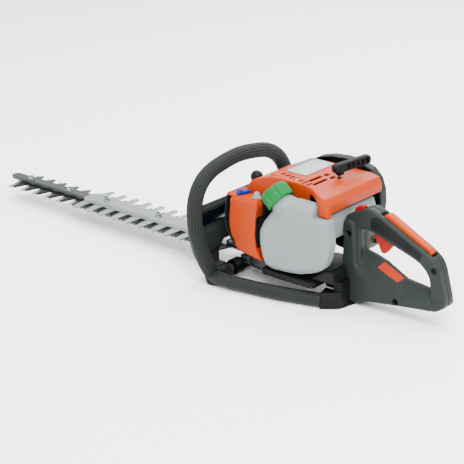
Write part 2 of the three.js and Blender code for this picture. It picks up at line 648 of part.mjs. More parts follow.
// The guard follows the front handle's lower half, with the cutter bar through the gap in its middle.
function handGuard() {
  const half = [[134, 152, 14], [132, 102, 20], [114, 52, 14], [92, 24, 8]];
  const gapHalf = [[47, 24], [47, 56, 4], [34, 70, 6]];
  const gap = [...gapHalf, ...gapHalf.map(([y, z, r]) => [-y, z, r]).reverse()];
  const face = outline([...half, ...gap, ...half.map(([y, z, r]) => [-y, z, r]).reverse()]);
  const plate = wall(face, [156, 162]);
  const shelf = box([137, 157], [-86, 86], [26, 31]);
  const room = box([130, 170], [-47, 47], [20, 50]);
  piece("hand_guard", cut(join(plate, shelf), room), DARK());
}
handGuard();

const railRoute = (side) => [[105, 110, 26], [60, 105, 25.5], [-20, 89, 24.5], [-95, 66, 24]].map(([x, y, z]) => [x, side * y, z]);
piece("left_rail", tube(railRoute(1), RAIL_RADIUS, 12, 14), DARK());
piece("right_rail", tube(railRoute(-1), RAIL_RADIUS, 12, 14), DARK());

function rearBracket() {
  const plan = [[-98, 76, 4], [-128, 52, 8], [-134, 18, 4]];
  const floor = layer(outline(mirrored(plan)), [DATUM_Z, 13.4]);
  const lugs = [1, -1].map((side) => box([-128, -112], side > 0 ? [24, 52] : [-52, -24], [12, 60]));
  const end = [[-93, 48], [-100.4, 76, 3], [-128, 54, 6], [-128, 48]];
  const blocks = [end, end.map(([x, y, r]) => [x, -y, r]).reverse()].map((plan) => layer(outline(plan), [12, 42]));
  piece("rear_bracket", join(floor, ...lugs, ...blocks), BLACK());
}
rearBracket();

[1, -1].forEach((side) => {
  const word = side > 0 ? "left" : "right";
  const [x, z] = FRONT_SPRING_PLACE;
  const front = coil(13, 2.5, 4, 24).rotateX(-side * Math.PI / 2).translate(x, side * 49.5, z);
  piece(`front_spring_${word}`, front, BLACK());
  const rear = coil(8, 1.9, 3.5, 23).rotateY(-Math.PI / 2).translate(-88.5, side * 36, 49);
  piece(`rear_spring_${word}`, rear, BLACK());
});

// ---------------------------------------------------------------- rear handle
const HANDLE_OUTER = [
  [-107.5, 14, 8],
  [-107.5, 174, 8],
  [-158, 199, 8],
  [-190, 187, 12],
  [-254, 156, 12],
  [-286, 142, 12],
  [-303, 127, 12],
  [-309, 104, 10],
  [-320, 66, 10],
  [-320, 50, 8],
  [-304, 43, 8],
  [-235, 34, 10],
  [-166, 24, 8],
  [-140, 14, 10],
];
const HANDLE_HOLE = [
  [-141, 157, 10],
  [-143, 104, 10],
  [-150, 66, 7],
  [-172, 57, 8],
  [-202, 47, 8],
  [-249, 47, 8],
  [-289, 54, 8],
  [-289, 100, 14],
  [-268, 122, 14],
  [-208, 142, 12],
  [-160, 157, 8],
];
// Side plate of the lower arm, which is wider than the grip.
const LOWER_ARM = [
  [-107.5, 14, 8],
  [-107.5, 168, 8],
  [-130, 168, 10],
  [-136, 90],
  [-150, 70, 10],
  [-172, 61],
  [-202, 52],
  [-249, 53],
  [-300, 60],
  [-318, 62, 9],
  [-318, 50, 8],
  [-304, 43],
  [-235, 34],
  [-166, 24],
  [-140, 14, 10],
];
// Sections of the lower arm's upper side: distance back, height at its edges and height at its crest.
const ARM_CREST = [
  [-140, 78, 116],
  [-168, 62, 110],
  [-191, 54, 103],
  [-234, 51, 81],
  [-292, 58, 75],
];
const GRIP_HALF_WIDTH = 17;
const ARM_HALF_WIDTH = 22;
const CREST_HALF_WIDTH = 4;
const TRIGGER_PIVOT = [-168, 163];
const LOCKOUT_PIVOT = [-275, 142];
const SCREW_PLACES = [[-120, 144], [-296, 116], [-223, 40]];

// Solid under the lower arm's upper side: its sections are joined by triangles and closed at both ends.
function armRoof() {
  const points = ARM_CREST.flatMap(([x, edge, crest]) => [
    [x, ARM_HALF_WIDTH, 42],
    [x, ARM_HALF_WIDTH, edge],
    [x, CREST_HALF_WIDTH, crest],
    [x, -CREST_HALF_WIDTH, crest],
    [x, -ARM_HALF_WIDTH, edge],
    [x, -ARM_HALF_WIDTH, 42],
  ]);
  const index = [];
  for (let i = 0; i + 1 < ARM_CREST.length; i += 1) {
    for (let k = 0; k < 6; k += 1) {
      const a = 6 * i + k;
      const b = 6 * i + ((k + 1) % 6);
      index.push(a, a + 6, b, b, a + 6, b + 6);
    }
  }
  const last = 6 * (ARM_CREST.length - 1);
  for (let k = 1; k < 5; k += 1) {
    index.push(0, k, k + 1, last, last + k + 1, last + k);
  }
  const roof = new THREE.BufferGeometry();
  roof.setAttribute("position", new THREE.Float32BufferAttribute(points.flat(), 3));
  roof.setIndex(index);
  return roof;
}

function rearHandle() {
  const grip = slab(outline(HANDLE_OUTER, [HANDLE_HOLE]), [-GRIP_HALF_WIDTH, GRIP_HALF_WIDTH], 3.5);
  const arm = slab(outline(LOWER_ARM), [-ARM_HALF_WIDTH, ARM_HALF_WIDTH], 3);
  const body = join(grip, arm, armRoof());
  const columnPocket = outline([[-112, 40], [-112, 150, 8], [-128, 158, 8], [-134, 90, 10], [-146, 60, 8], [-140, 30, 8]]);
  const armPocket = outline([[-164, 34, 6], [-170, 80, 8], [-192, 80, 8], [-236, 62, 10], [-286, 56, 8], [-290, 50, 6]]);
  const triggerRoom = slab(outline([[-152, 174], [-152, 126], [-214, 126], [-214, 158], [-200, 170]]), [-6.8, 6.8]);
  const room = [[-176, 215], [-178, 180], [-198, 170], [-268, 131], [-288, 130], [-292, 165], [-200, 212]];
  const lockoutRoom = slab(outline(room), [-8.4, 8.4]);
  const switchRoom = box([-142, -120], [-7, 7], [170, 200]);
  const screws = SCREW_PLACES.map(([x, z]) => rodY(4, [14, 30], x, z, 12));
  const hollow = join(slab(columnPocket, [-14, 14]), slab(armPocket, [-9, 9]));
  const rooms = [hollow, triggerRoom, lockoutRoom, switchRoom, ...screws];
  const left = box([-340, -90], [-40, 0.15], [0, 230]);
  const right = box([-340, -90], [-0.15, 40], [0, 230]);
  piece("rear_handle_left", cut(body, left, ...rooms), BLACK());
  piece("rear_handle_right", cut(body, right, ...rooms), BLACK());

  const blade = slab(outline([[-160, 166, 4], [-163, 150], [-181, 117, 4], [-189, 117, 4], [-205, 138], [-196, 158, 4], [-174, 170, 4]]), [-6, 6], 1);
  piece("throttle_trigger", cut(blade, rodY(2.3, [-10, 10], ...TRIGGER_PIVOT, 10)), TRIM_RED());

  const top = slab(outline([[-182, 186, 4], [-192, 194, 4], [-284, 148, 4], [-284, 137, 4], [-270, 136, 4], [-200, 175, 4]]), [-8, 8], 1);
  piece("lockout_lever", cut(top, rodY(2.3, [-10, 10], ...LOCKOUT_PIVOT, 10)), paint(0xf07a28, 0.45));

  const rocker = slab(outline([[-121, 172, 2], [-121, 186, 3], [-127, 193, 3], [-141, 196, 3], [-141, 172, 2]]), [-6, 6], 1);
  piece("stop_switch", rocker, TRIM_RED());
}
rearHandle();

export default machine;
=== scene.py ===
import json
import math

import bmesh
import bpy
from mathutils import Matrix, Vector

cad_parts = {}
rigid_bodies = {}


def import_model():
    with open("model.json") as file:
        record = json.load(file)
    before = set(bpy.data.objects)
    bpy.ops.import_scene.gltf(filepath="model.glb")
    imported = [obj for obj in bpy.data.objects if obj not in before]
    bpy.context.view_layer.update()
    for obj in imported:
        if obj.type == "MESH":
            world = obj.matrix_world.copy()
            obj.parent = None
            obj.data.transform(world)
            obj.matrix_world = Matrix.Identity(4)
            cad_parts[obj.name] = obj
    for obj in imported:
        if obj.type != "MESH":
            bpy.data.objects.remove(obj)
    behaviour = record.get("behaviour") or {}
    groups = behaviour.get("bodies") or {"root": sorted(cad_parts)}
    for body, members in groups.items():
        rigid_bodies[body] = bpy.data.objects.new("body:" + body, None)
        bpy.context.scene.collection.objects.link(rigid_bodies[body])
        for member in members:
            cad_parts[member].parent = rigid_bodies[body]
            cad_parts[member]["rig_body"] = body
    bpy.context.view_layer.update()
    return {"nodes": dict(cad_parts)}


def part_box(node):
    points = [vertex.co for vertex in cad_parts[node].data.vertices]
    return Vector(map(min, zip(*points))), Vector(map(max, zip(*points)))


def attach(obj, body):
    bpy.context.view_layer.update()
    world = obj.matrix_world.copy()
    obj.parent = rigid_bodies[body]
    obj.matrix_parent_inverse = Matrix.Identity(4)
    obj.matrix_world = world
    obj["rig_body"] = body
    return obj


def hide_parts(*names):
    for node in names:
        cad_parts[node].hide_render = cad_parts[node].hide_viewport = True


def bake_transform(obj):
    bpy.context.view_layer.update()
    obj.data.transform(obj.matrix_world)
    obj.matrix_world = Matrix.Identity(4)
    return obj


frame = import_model()

NODES = frame["nodes"]

# Lengths below are in millimetres in the layout of the machine: X from the crank axis towards the
# blade tip, Y to the operator's left, Z up from 10 mm under the ground. at() turns them into metres
# in the row frame.
MM = 0.001
MIDDLE_X = 225
DATUM_Z = 10


def at(x, y, z):
    return Vector(((x - MIDDLE_X) * MM, y * MM, (z - DATUM_Z) * MM))


def span(node):
    """Lowest and highest corner of a CAD node, and the middle of its underside, in metres."""
    low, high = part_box(node)
    return low, high, Vector(((low.x + high.x) / 2, (low.y + high.y) / 2, low.z))


# ---------------------------------------------------------------- materials
ALBEDO = 0.34  # the studio light is strong enough to whiten the floor, so finishes reflect less

METAL_GAIN = 1.4  # metals mirror the studio, so they are lighter than mouldings


def srgb(r, g, b):
    def linear(c):
        c /= 255
        return c / 12.92 if c <= 0.04045 else ((c + 0.055) / 1.055) ** 2.4

    return (ALBEDO * linear(r), ALBEDO * linear(g), ALBEDO * linear(b), 1)


def metal_tone(r, g, b):
    return shade(srgb(r, g, b), METAL_GAIN)


def shade(color, factor):
    return tuple(min(1, c * factor) for c in color[:3]) + (1,)


BUMP_DISTANCE = 0.0004
COAT_ROUGHNESS = 0.12
SCATTER_RADIUS = (0.02, 0.02, 0.018)
SCUFF_SCALE = 95
SCUFF_DETAIL = 8
SCUFF_MASK = (0.60, 0.72)
MOTTLE_MASK = (0.3, 0.7)


def material(name, color, rough, grain=0.1, grain_scale=1400, mottle=0.08, mottle_scale=30, metallic=0.0,
             coat=0.0, stretch=(1, 1, 1), rough_range=0.08, subsurface=0.0, wear=None, specular=0.12):
    """Procedural finish: broad tone changes, fine grain in the relief, uneven gloss and optional scuffs."""
    mat = bpy.data.materials.new(name)
    mat.use_nodes = True
    tree = mat.node_tree
    new, link = tree.nodes.new, tree.links.new
    bsdf = tree.nodes["Principled BSDF"]
    bsdf.inputs["Metallic"].default_value = metallic
    bsdf.inputs["Specular IOR Level"].default_value = specular
    bsdf.inputs["Coat Weight"].default_value = coat
    bsdf.inputs["Coat Roughness"].default_value = COAT_ROUGHNESS
    if subsurface:
        bsdf.inputs["Subsurface Weight"].default_value = subsurface
        bsdf.inputs["Subsurface Radius"].default_value = SCATTER_RADIUS
        bsdf.inputs["Subsurface Scale"].default_value = 1.0
    coords = new("ShaderNodeTexCoord")
    mapping = new("ShaderNodeMapping")
    mapping.inputs["Scale"].default_value = stretch
    link(coords.outputs["Object"], mapping.inputs["Vector"])

    def noise(scale, detail=4):
        n = new("ShaderNodeTexNoise")
        n.inputs["Scale"].default_value = scale
        n.inputs["Detail"].default_value = detail
        link(mapping.outputs["Vector"], n.inputs["Vector"])
        return n

    broad = noise(mottle_scale)
    ramp = new("ShaderNodeValToRGB")
    ramp.color_ramp.elements[0].position = MOTTLE_MASK[0]
    ramp.color_ramp.elements[1].position = MOTTLE_MASK[1]
    ramp.color_ramp.elements[0].color = shade(color, 1 - mottle)
    ramp.color_ramp.elements[1].color = shade(color, 1 + mottle)
    link(broad.outputs["Fac"], ramp.inputs["Fac"])
    surface = ramp.outputs["Color"]
    if wear:
        scuffs = noise(SCUFF_SCALE, SCUFF_DETAIL)
        mask = new("ShaderNodeValToRGB")
        mask.color_ramp.elements[0].position = SCUFF_MASK[0]
        mask.color_ramp.elements[1].position = SCUFF_MASK[1]
        link(scuffs.outputs["Fac"], mask.inputs["Fac"])
        mix = new("ShaderNodeMixRGB")
        mix.inputs["Color2"].default_value = wear
        link(mask.outputs["Color"], mix.inputs["Fac"])
        link(surface, mix.inputs["Color1"])
        surface = mix.outputs["Color"]
    link(surface, bsdf.inputs["Base Color"])
    gloss = new("ShaderNodeMapRange")
    gloss.inputs["To Min"].default_value = max(0.02, rough - rough_range)
    gloss.inputs["To Max"].default_value = min(1, rough + rough_range)
    link(noise(mottle_scale * 3).outputs["Fac"], gloss.inputs["Value"])
    link(gloss.outputs["Result"], bsdf.inputs["Roughness"])
    bump = new("ShaderNodeBump")
    bump.inputs["Strength"].default_value = grain
    bump.inputs["Distance"].default_value = BUMP_DISTANCE
    link(noise(grain_scale, 2).outputs["Fac"], bump.inputs["Height"])
    link(bump.outputs["Normal"], bsdf.inputs["Normal"])
    return mat


ORANGE = material("orange moulding", srgb(240, 78, 0), 0.40, grain=0.05, mottle=0.03)
TANK = material("tank moulding", srgb(180, 191, 194), 0.42, grain=0.04, mottle=0.035, mottle_scale=14,
                subsurface=0.25, coat=0.05)
DARK = material("dark moulding", srgb(52, 58, 56), 0.55, grain=0.22, grain_scale=1700, mottle=0.10)
BLACK = material("black moulding", srgb(20, 24, 23), 0.50, grain=0.16, mottle=0.10)
HANDLE = material("handle moulding", srgb(52, 61, 58), 0.50, grain=0.25, grain_scale=1500, mottle=0.08)
INSET = material("grip texture", srgb(24, 29, 27), 0.60, grain=0.9, grain_scale=2600, mottle=0.12)
RUBBER = material("grip rubber", srgb(46, 51, 49), 0.52, grain=0.30, grain_scale=2200, mottle=0.10)
GLOSSY = material("glossy panel", srgb(14, 17, 30), 0.14, grain=0.02, mottle=0.05, coat=0.6)
GREEN = material("green moulding", srgb(0, 150, 70), 0.42, grain=0.10, mottle=0.05)
RED = material("red moulding", srgb(206, 30, 14), 0.40, grain=0.08, mottle=0.05)
LOCKOUT = material("orange lever", srgb(244, 84, 0), 0.40, grain=0.08, mottle=0.04)
BLUE = material("blue moulding", srgb(4, 62, 190), 0.34, grain=0.08, mottle=0.05)
BULB = material("primer bulb", srgb(176, 186, 190), 0.42, grain=0.06, mottle=0.06, subsurface=0.2)
PATCH = material("plain patch", srgb(226, 66, 24), 0.42, grain=0.04, mottle=0.04)
LABEL = material("plain plate", srgb(238, 246, 250), 0.32, grain=0.04, mottle=0.04, mottle_scale=60)
LABEL_BAND = material("plate band", srgb(150, 172, 214), 0.32, grain=0.04, mottle=0.04, mottle_scale=60)
BLADE = material("ground blade", metal_tone(206, 212, 212), 0.30, grain=0.30, grain_scale=500, mottle=0.10,
                 metallic=1.0, stretch=(0.15, 3, 1), wear=metal_tone(150, 156, 156))
# The upper blade is given a near-black tone with lighter scuffs.
DARK_BLADE = material("dark-toned blade", srgb(40, 44, 44), 0.34, grain=0.25, grain_scale=600, mottle=0.2,
                   metallic=0.5, stretch=(0.2, 3, 1), wear=srgb(60, 64, 64))
COMB = material("comb metal", metal_tone(212, 217, 216), 0.36, grain=0.20, grain_scale=700, mottle=0.08,
                metallic=0.9, stretch=(0.3, 2, 1), wear=metal_tone(168, 173, 174))
BAR = material("bar metal", metal_tone(96, 101, 99), 0.45, grain=0.25, grain_scale=500, mottle=0.12,
               metallic=0.85, stretch=(0.1, 3, 1), wear=metal_tone(84, 89, 87))
ZINC = material("zinc", metal_tone(186, 212, 210), 0.28, grain=0.12, mottle=0.10, metallic=1.0)
DARK_STEEL = material("oiled steel", srgb(92, 96, 96), 0.36, grain=0.18, mottle=0.14, metallic=0.95)
SPRING = material("black spring steel", srgb(40, 42, 42), 0.26, grain=0.10, mottle=0.12, metallic=0.7)
ALLOY = material(
    "cast alloy", srgb(158, 163, 164), 0.50, grain=0.42, grain_scale=850, mottle=0.10, metallic=0.85)
HEATED = material("exhaust sheet", srgb(96, 92, 86), 0.5, grain=0.25, mottle=0.25, metallic=0.8,
                  wear=srgb(120, 96, 76))
CERAMIC = material("glazed ceramic", srgb(232, 230, 224), 0.2, grain=0.03, mottle=0.03, coat=0.4)
FOAM = material(
    "filter foam", srgb(74, 76, 70), 0.9, grain=0.9, grain_scale=900, mottle=0.25, mottle_scale=300)
ROPE = material(
    "braided rope", srgb(52, 52, 54), 0.8, grain=0.7, grain_scale=1500, mottle=0.25, mottle_scale=500)
SCREW = material("screw steel", srgb(24, 26, 27), 0.30, grain=0.1, mottle=0.1, metallic=0.6)


# ---------------------------------------------------------------- building
def new_object(name, mesh):
    obj = bpy.data.objects.new(name, mesh)
    bpy.context.scene.collection.objects.link(obj)
    return obj


WELD = 1e-7  # metres
CAD_WELD = 2e-6


def from_faces(name, points, faces):
    mesh = bpy.data.meshes.new(name)
    mesh.from_pydata([tuple(p) for p in points], [], faces)
    bm = bmesh.new()
    bm.from_mesh(mesh)
    bmesh.ops.remove_doubles(bm, verts=bm.verts, dist=WELD)
    bmesh.ops.recalc_face_normals(bm, faces=bm.faces)
    bm.to_mesh(mesh)
    bm.free()
    return new_object(name, mesh)


def applied(obj):
    """Turns the object's modifiers into its mesh."""
    graph = bpy.context.evaluated_depsgraph_get()
    mesh = bpy.data.meshes.new_from_object(obj.evaluated_get(graph))
    obj.modifiers.clear()
    old, obj.data = obj.data, mesh
    bpy.data.meshes.remove(old)
    return obj


def smooth_shaded(obj, degrees=None):
    obj.data.shade_smooth()
    if degrees is not None:
        obj.data.set_sharp_from_angle(angle=math.radians(degrees))
    return obj


def cad(node, flat_angle=1.5):
    """Copy of a CAD node's surface with its flat areas merged into single faces."""
    bm = bmesh.new()
    bm.from_mesh(NODES[node].data)
    bmesh.ops.remove_doubles(bm, verts=bm.verts, dist=CAD_WELD)
    bmesh.ops.dissolve_degenerate(bm, edges=bm.edges, dist=CAD_WELD)
    bmesh.ops.dissolve_limit(bm, angle_limit=math.radians(flat_angle), verts=bm.verts, edges=bm.edges)
    mesh = bpy.data.meshes.new(node)
    bm.to_mesh(mesh)
    bm.free()
    mesh.materials.clear()
    return new_object(node + " look", mesh)


BEVEL_ANGLE = 32
SHARP_ANGLE = 38


def bevelled(obj, width, segments):
    m = obj.modifiers.new("bevel", "BEVEL")
    m.width = width * MM
    m.segments = segments
    m.limit_method = "ANGLE"
    m.angle_limit = math.radians(BEVEL_ANGLE)
    m.use_clamp_overlap = True
    m.harden_normals = False
    applied(obj)
    return smooth_shaded(obj, SHARP_ANGLE)


def moulded(obj, voxel, passes, keep=1.0):
    """Remeshes a solid and relaxes it, so that its edges come out rounded as in a moulding."""
    m = obj.modifiers.new("remesh", "REMESH")
    m.mode = "VOXEL"
    m.voxel_size = voxel * MM
    m.adaptivity = 0
    m = obj.modifiers.new("relax", "SMOOTH")
    m.factor = 0.5
    m.iterations = passes
    if keep < 1:
        m = obj.modifiers.new("fewer", "DECIMATE")
        m.ratio = keep
    applied(obj)
    return smooth_shaded(obj)


def cut(obj, *tools):
    for tool in tools:
        m = obj.modifiers.new("cut", "BOOLEAN")
        m.operation = "DIFFERENCE"
        m.solver = "EXACT"
        m.object = tool
    applied(obj)
    for tool in tools:
        bpy.data.objects.remove(tool)
    return obj


def merged(obj, *others):
    """One object that holds the faces of all. Overlapping solids are fused later by moulded()."""
    bm = bmesh.new()
    for o in (obj,) + others:
        bm.from_mesh(o.data)
    bm.to_mesh(obj.data)
    bm.free()
    for o in others:
        bpy.data.objects.remove(o)
    return obj


def rounded(points, steps=4):
    """Outline with arcs at the corners that have a radius as their third number."""
    out = []
    n = len(points)
    for i, p in enumerate(points):
        x, y = p[0], p[1]
        radius = p[2] if len(p) > 2 else 0
        a = Vector((points[i - 1][0] - x, points[i - 1][1] - y))
        b = Vector((points[(i + 1) % n][0] - x, points[(i + 1) % n][1] - y))
        half = a.angle(b) / 2 if a.length and b.length else math.pi / 2
        if radius <= 0 or half > 1.5:
            out.append((x, y))
            continue
        reach = min(radius / math.tan(half), a.length * 0.49, b.length * 0.49)
        radius = reach * math.tan(half)
        a.normalize(), b.normalize()
        centre = Vector((x, y)) + (a + b).normalized() * (radius / math.sin(half))
        start = Vector((x, y)) + a * reach - centre
        end = Vector((x, y)) + b * reach - centre
        turn = start.angle_signed(end) * -1
        for k in range(steps + 1):
            s = turn * k / steps
            out.append((centre.x + start.x * math.cos(s) - start.y * math.sin(s),
                        centre.y + start.x * math.sin(s) + start.y * math.cos(s)))
    return out


def prism(name, outline, axis, low, high):
    """Solid between two levels along an axis. The outline is in the other two coordinates."""
    def place(u, v, w):
        return {"x": at(w, u, v), "y": at(u, w, v), "z": at(u, v, w)}[axis]

    n = len(outline)
    points = [place(u, v, level) for level in (low, high) for u, v in outline]
    faces = [list(range(n)), list(range(n, 2 * n))[::-1]]
    faces += [[i, (i + 1) % n, n + (i + 1) % n, n + i] for i in range(n)]
    return from_faces(name, points, faces)


def block(name, x, y, z):
    return prism(name, [(x[0], y[0]), (x[1], y[0]), (x[1], y[1]), (x[0], y[1])], "z", *z)


def basis(axis):
    """Two directions square to an axis."""
    w = Vector(axis).normalized()
    u = w.orthogonal().normalized()
    return u, w.cross(u), w


def turned(name, profile, centre, axis=(0, 0, 1), sides=48, ripple=None):
    """Solid of revolution. The profile is (radius, height) pairs from the bottom to the top of the axis."""
    u, v, w = basis(axis)
    points, rings = [], []
    for k, (radius, height) in enumerate(profile):
        ring = []
        for i in range(1 if radius == 0 else sides):
            angle = 2 * math.pi * i / sides
            r = radius * (ripple(angle, k) if ripple else 1)
            ring.append(len(points))
            out = u * math.cos(angle) + v * math.sin(angle)
            points.append(Vector(centre) + out * r * MM + w * height * MM)
        rings.append(ring)
    faces = []
    for low, high in zip(rings, rings[1:]):
        for i in range(sides):
            j = (i + 1) % sides
            corners = [low[i % len(low)], low[j % len(low)], high[j % len(high)], high[i % len(high)]]
            corners = list(dict.fromkeys(corners))
            if len(corners) > 2:
                faces.append(corners)
    for ring in (rings[0][::-1], rings[-1]):
        if len(ring) > 1:
            faces.append(ring)
    return from_faces(name, points, faces)


def spline(points, count):
    """Evenly numbered points on a smooth curve through the given ones."""
    pts = [Vector(p) for p in points]
    pts = [2 * pts[0] - pts[1]] + pts + [2 * pts[-1] - pts[-2]]
    out = []
    spans = len(pts) - 3
    for k in range(count):
        t = k * spans / (count - 1)
        i = min(int(t), spans - 1)
        f = t - i
        a, b, c, d = pts[i:i + 4]
        square = (2 * a - 5 * b + 4 * c - d) * f ** 2
        cube = (3 * b - a - 3 * c + d) * f ** 3
        out.append(0.5 * ((2 * b) + (c - a) * f + square + cube))
    return out


def swept(name, path, section, sides):
    """Tube along a path in metres. section(ring, angle) is its radius in millimetres."""
    tangents = []
    n = len(path)
    for i in range(n):
        tangents.append((path[min(i + 1, n - 1)] - path[max(i - 1, 0)]).normalized())
    normal = tangents[0].orthogonal().normalized()
    points, faces = [], []
    for i in range(n):
        normal = (normal - tangents[i] * normal.dot(tangents[i])).normalized()
        side = tangents[i].cross(normal)
        for k in range(sides):
            angle = 2 * math.pi * k / sides
            out = normal * math.cos(angle) + side * math.sin(angle)
            points.append(path[i] + out * section(i, angle) * MM)
    for i in range(n - 1):
        for k in range(sides):
            j = (k + 1) % sides
            faces.append([i * sides + k, i * sides + j, (i + 1) * sides + j, (i + 1) * sides + k])
    faces.append(list(range(sides))[::-1])
    faces.append([(n - 1) * sides + k for k in range(sides)])
    return from_faces(name, points, faces)


def dressed(obj, finish, node, also=(), name=None, replace=True):
    """Gives a piece its finish, and puts it on the body of its CAD node."""
    obj.name = name or node + "_look"
    obj.data.materials.clear()
    obj.data.materials.append(finish)
    for polygon in obj.data.polygons:
        polygon.material_index = 0
    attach(obj, NODES[node]["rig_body"])
    if replace:
        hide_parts(node, *also)
    return obj


def detail(obj, finish, node, name):
    return dressed(obj, finish, node, name=name, replace=False)


# ---------------------------------------------------------------- cutter bar
for node, finish in (("upper_blade", DARK_BLADE), ("lower_blade", BLADE)):
    dressed(bevelled(cad(node), 0.55, 2), finish, node)
dressed(bevelled(cad("guide_bar"), 0.8, 3), BAR, "guide_bar")
dressed(bevelled(cad("comb_guard"), 0.9, 3), COMB, "comb_guard")


def hexagon(angle, k):
    """Scale of a hexagonal ring: the rings of a nut above its flange have flats."""
    if k not in (4, 5):
        return 1
    flat = math.radians(60)
    return 0.90 / max(math.cos((angle + flat / 2) % flat - flat / 2), 0.8)


def bolt_look(index):
    """Bolt with a low head under the blades, its blackened end above a flanged nut on the bar."""
    node = f"blade_bolt_{index}"
    low, high, centre = span(node)
    tall = (high.z - low.z) / MM
    shank = 3
    head = [(0, 0), (4.4, 0), (6.9, 1.8), (6.9, 4.7), (shank, 4.7)]
    end = [(shank, tall - 0.6), (shank * 0.8, tall), (0, tall)]
    dressed(smooth_shaded(turned(node, head + end, centre, sides=36), 40), SCREW, node)

    node = f"blade_nut_{index}"
    low, high, centre = span(node)
    tall = (high.z - low.z) / MM
    bore = 3.1
    flange = [(bore, 0.1), (7.8, 0), (8, 0.4), (7.6, 1.3)]
    body = [(6.3, 1.6), (6.3, tall - 0.5), (5.2, tall), (bore, tall)]
    nut = turned(node, flange + body, centre, sides=48, ripple=hexagon)
    dressed(smooth_shaded(nut, 35), ZINC, node)


for number in (1, 2, 3, 4):
    bolt_look(number)

# ---------------------------------------------------------------- front handle and frame
LOOP_X = 122
LOOP_LEAN = 0.12
LOOP_SIDE = [
    (100, 6), (106, 30), (121, 58), (133, 95), (138, 130), (134, 166), (116, 197), (86, 216), (46, 225),
]
LOOP_TOP_Z = 229
LOOP_RADIUS = 14.5
RIBS = 16
RIB_DEPTH = 1.3


def ribbed(_, angle):
    """Round section with narrow grooves that run along the grip."""
    return LOOP_RADIUS - RIB_DEPTH * max(0.0, math.cos(angle * RIBS)) ** 2


def loop_path(count):
    side = [(LOOP_X + LOOP_LEAN * z, y, z) for y, z in LOOP_SIDE]
    top = (LOOP_X + LOOP_LEAN * LOOP_TOP_Z, 0, LOOP_TOP_Z)
    points = side + [top] + [(x, -y, z) for x, y, z in side[::-1]]
    return [at(*p) for p in spline(points, count)]


grip = swept("front grip", loop_path(150), ribbed, 128)
under_ground = block("ground", (60, 220), (-170, 170), (-40, DATUM_Z + 0.02))
cut(grip, under_ground)
dressed(smooth_shaded(grip, 60), RUBBER, "front_handle")

RAIL_ROUTE = [
    (121, 104, 25), (113, 109, 25.5), (96, 110, 26), (60, 105, 25.5), (-20, 89, 24.5), (-97, 65.5, 24),
]
RAIL_RADIUS = 12.6
SIDES = ((1, "left"), (-1, "right"))


def rail_section(ring, angle):
    """Between round and square, and slimmer where the rail leaves the front handle."""
    power = 3.2
    square = (abs(math.cos(angle)) ** power + abs(math.sin(angle)) ** power) ** (-1 / power)
    fade = 0.86 + 0.14 * min(1, ring / 14)
    return RAIL_RADIUS * fade * (0.72 + 0.28 * square)


for side, word in SIDES:
    path = [at(*p) for p in spline([(x, side * y, z) for x, y, z in RAIL_ROUTE], 70)]
    rail = moulded(swept("rail", path, rail_section, 40), 1.6, 3)
    dressed(rail, RUBBER, f"{word}_rail")

dressed(moulded(cad("front_bracket"), 1.3, 5), DARK, "front_bracket")
dressed(bevelled(cad("rear_bracket"), 1.4, 3), BLACK, "rear_bracket")



def mirrored(outline, side):
    """The outline on the left side or on the right, with its points in the same turning sense."""
    return rounded([(side * y, z, radius) for y, z, radius in outline][::side])


GUARD_RIM = [(-136, 147, 15), (136, 147, 15), (134, 139, 8), (-134, 139, 8)]
GUARD_LEDGE = [(50, 62, 4), (104, 62, 10), (104, 104, 12), (58, 104, 10)]
GUARD_PANEL = [(22, 112, 3), (119, 112, 8), (121, 136, 6), (22, 136, 3)]
rim = prism("guard rim", rounded(GUARD_RIM), "x", 152.6, 162)
ledges = [prism("ledge", mirrored(GUARD_LEDGE, side), "x", 148, 158) for side, _ in SIDES]
dressed(moulded(merged(cad("hand_guard"), rim, *ledges), 1.5, 5), DARK, "hand_guard")
for side, word in SIDES:
    panel = prism("panel", mirrored(GUARD_PANEL, side), "x", 155.0, 156.3)
    detail(bevelled(panel, 0.4, 2), GLOSSY, "hand_guard", f"guard_panel_{word}")


def spring_look(node, axis, wire, turns):
    """Coil along an axis of its CAD node's box. Its end turns are closed."""
    low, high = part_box(node)
    u, v, w = basis(axis)
    radius = (high.z - low.z) / 2 - (wire + 0.1) * MM
    length = (high - low).dot(Vector(axis)) - 4 * MM
    steps = int(turns * 40)
    path = []
    for k in range(steps + 1):
        t = k / steps
        angle = 2 * math.pi * turns * t
        eased = t - 0.07 * math.sin(2 * math.pi * t)
        round_it = (u * math.cos(angle) + v * math.sin(angle)) * radius
        path.append((low + high) / 2 + round_it + w * (eased - 0.5) * length)
    dressed(smooth_shaded(swept(node, path, lambda ring, around: wire, 12)), SPRING, node)


for _, word in SIDES:
    spring_look(f"front_spring_{word}", (0, 1, 0), 1.8, 5.5)
    spring_look(f"rear_spring_{word}", (1, 0, 0), 1.7, 5)

# ---------------------------------------------------------------- gearbox and engine
for node, finish, width in (
    ("gearbox_housing", ALLOY, 1.2), ("gearbox_cover", ALLOY, 0.8),
    ("crankcase", ALLOY, 1.2), ("cylinder", ALLOY, 0.4), ("drive_gear", DARK_STEEL, 0.3),
    ("eccentric_shaft", DARK_STEEL, 0.4), ("clutch_drum", DARK_STEEL, 0.4),
    ("clutch_shoes", ALLOY, 0.4), ("crankshaft_lower", DARK_STEEL, 0.4),
    ("crankshaft_upper", DARK_STEEL, 0.4), ("connecting_rod", DARK_STEEL, 0.3), ("piston", ALLOY, 0.3), ("spark_plug", CERAMIC, 0.3),
    ("spark_plug_cap", BLACK, 0.8), ("carburettor", ALLOY, 0.6), ("flywheel", ALLOY, 0.5),
    ("starter_pulley", BLACK, 0.5), ("recoil_spring", SPRING, 0.3), ("engine_base", BLACK, 1.5),
):
    dressed(bevelled(cad(node), width, 2), finish, node)
dressed(moulded(cad("muffler"), 1.4, 5), HEATED, "muffler")
dressed(moulded(cad("air_filter"), 1.6, 3), FOAM, "air_filter")

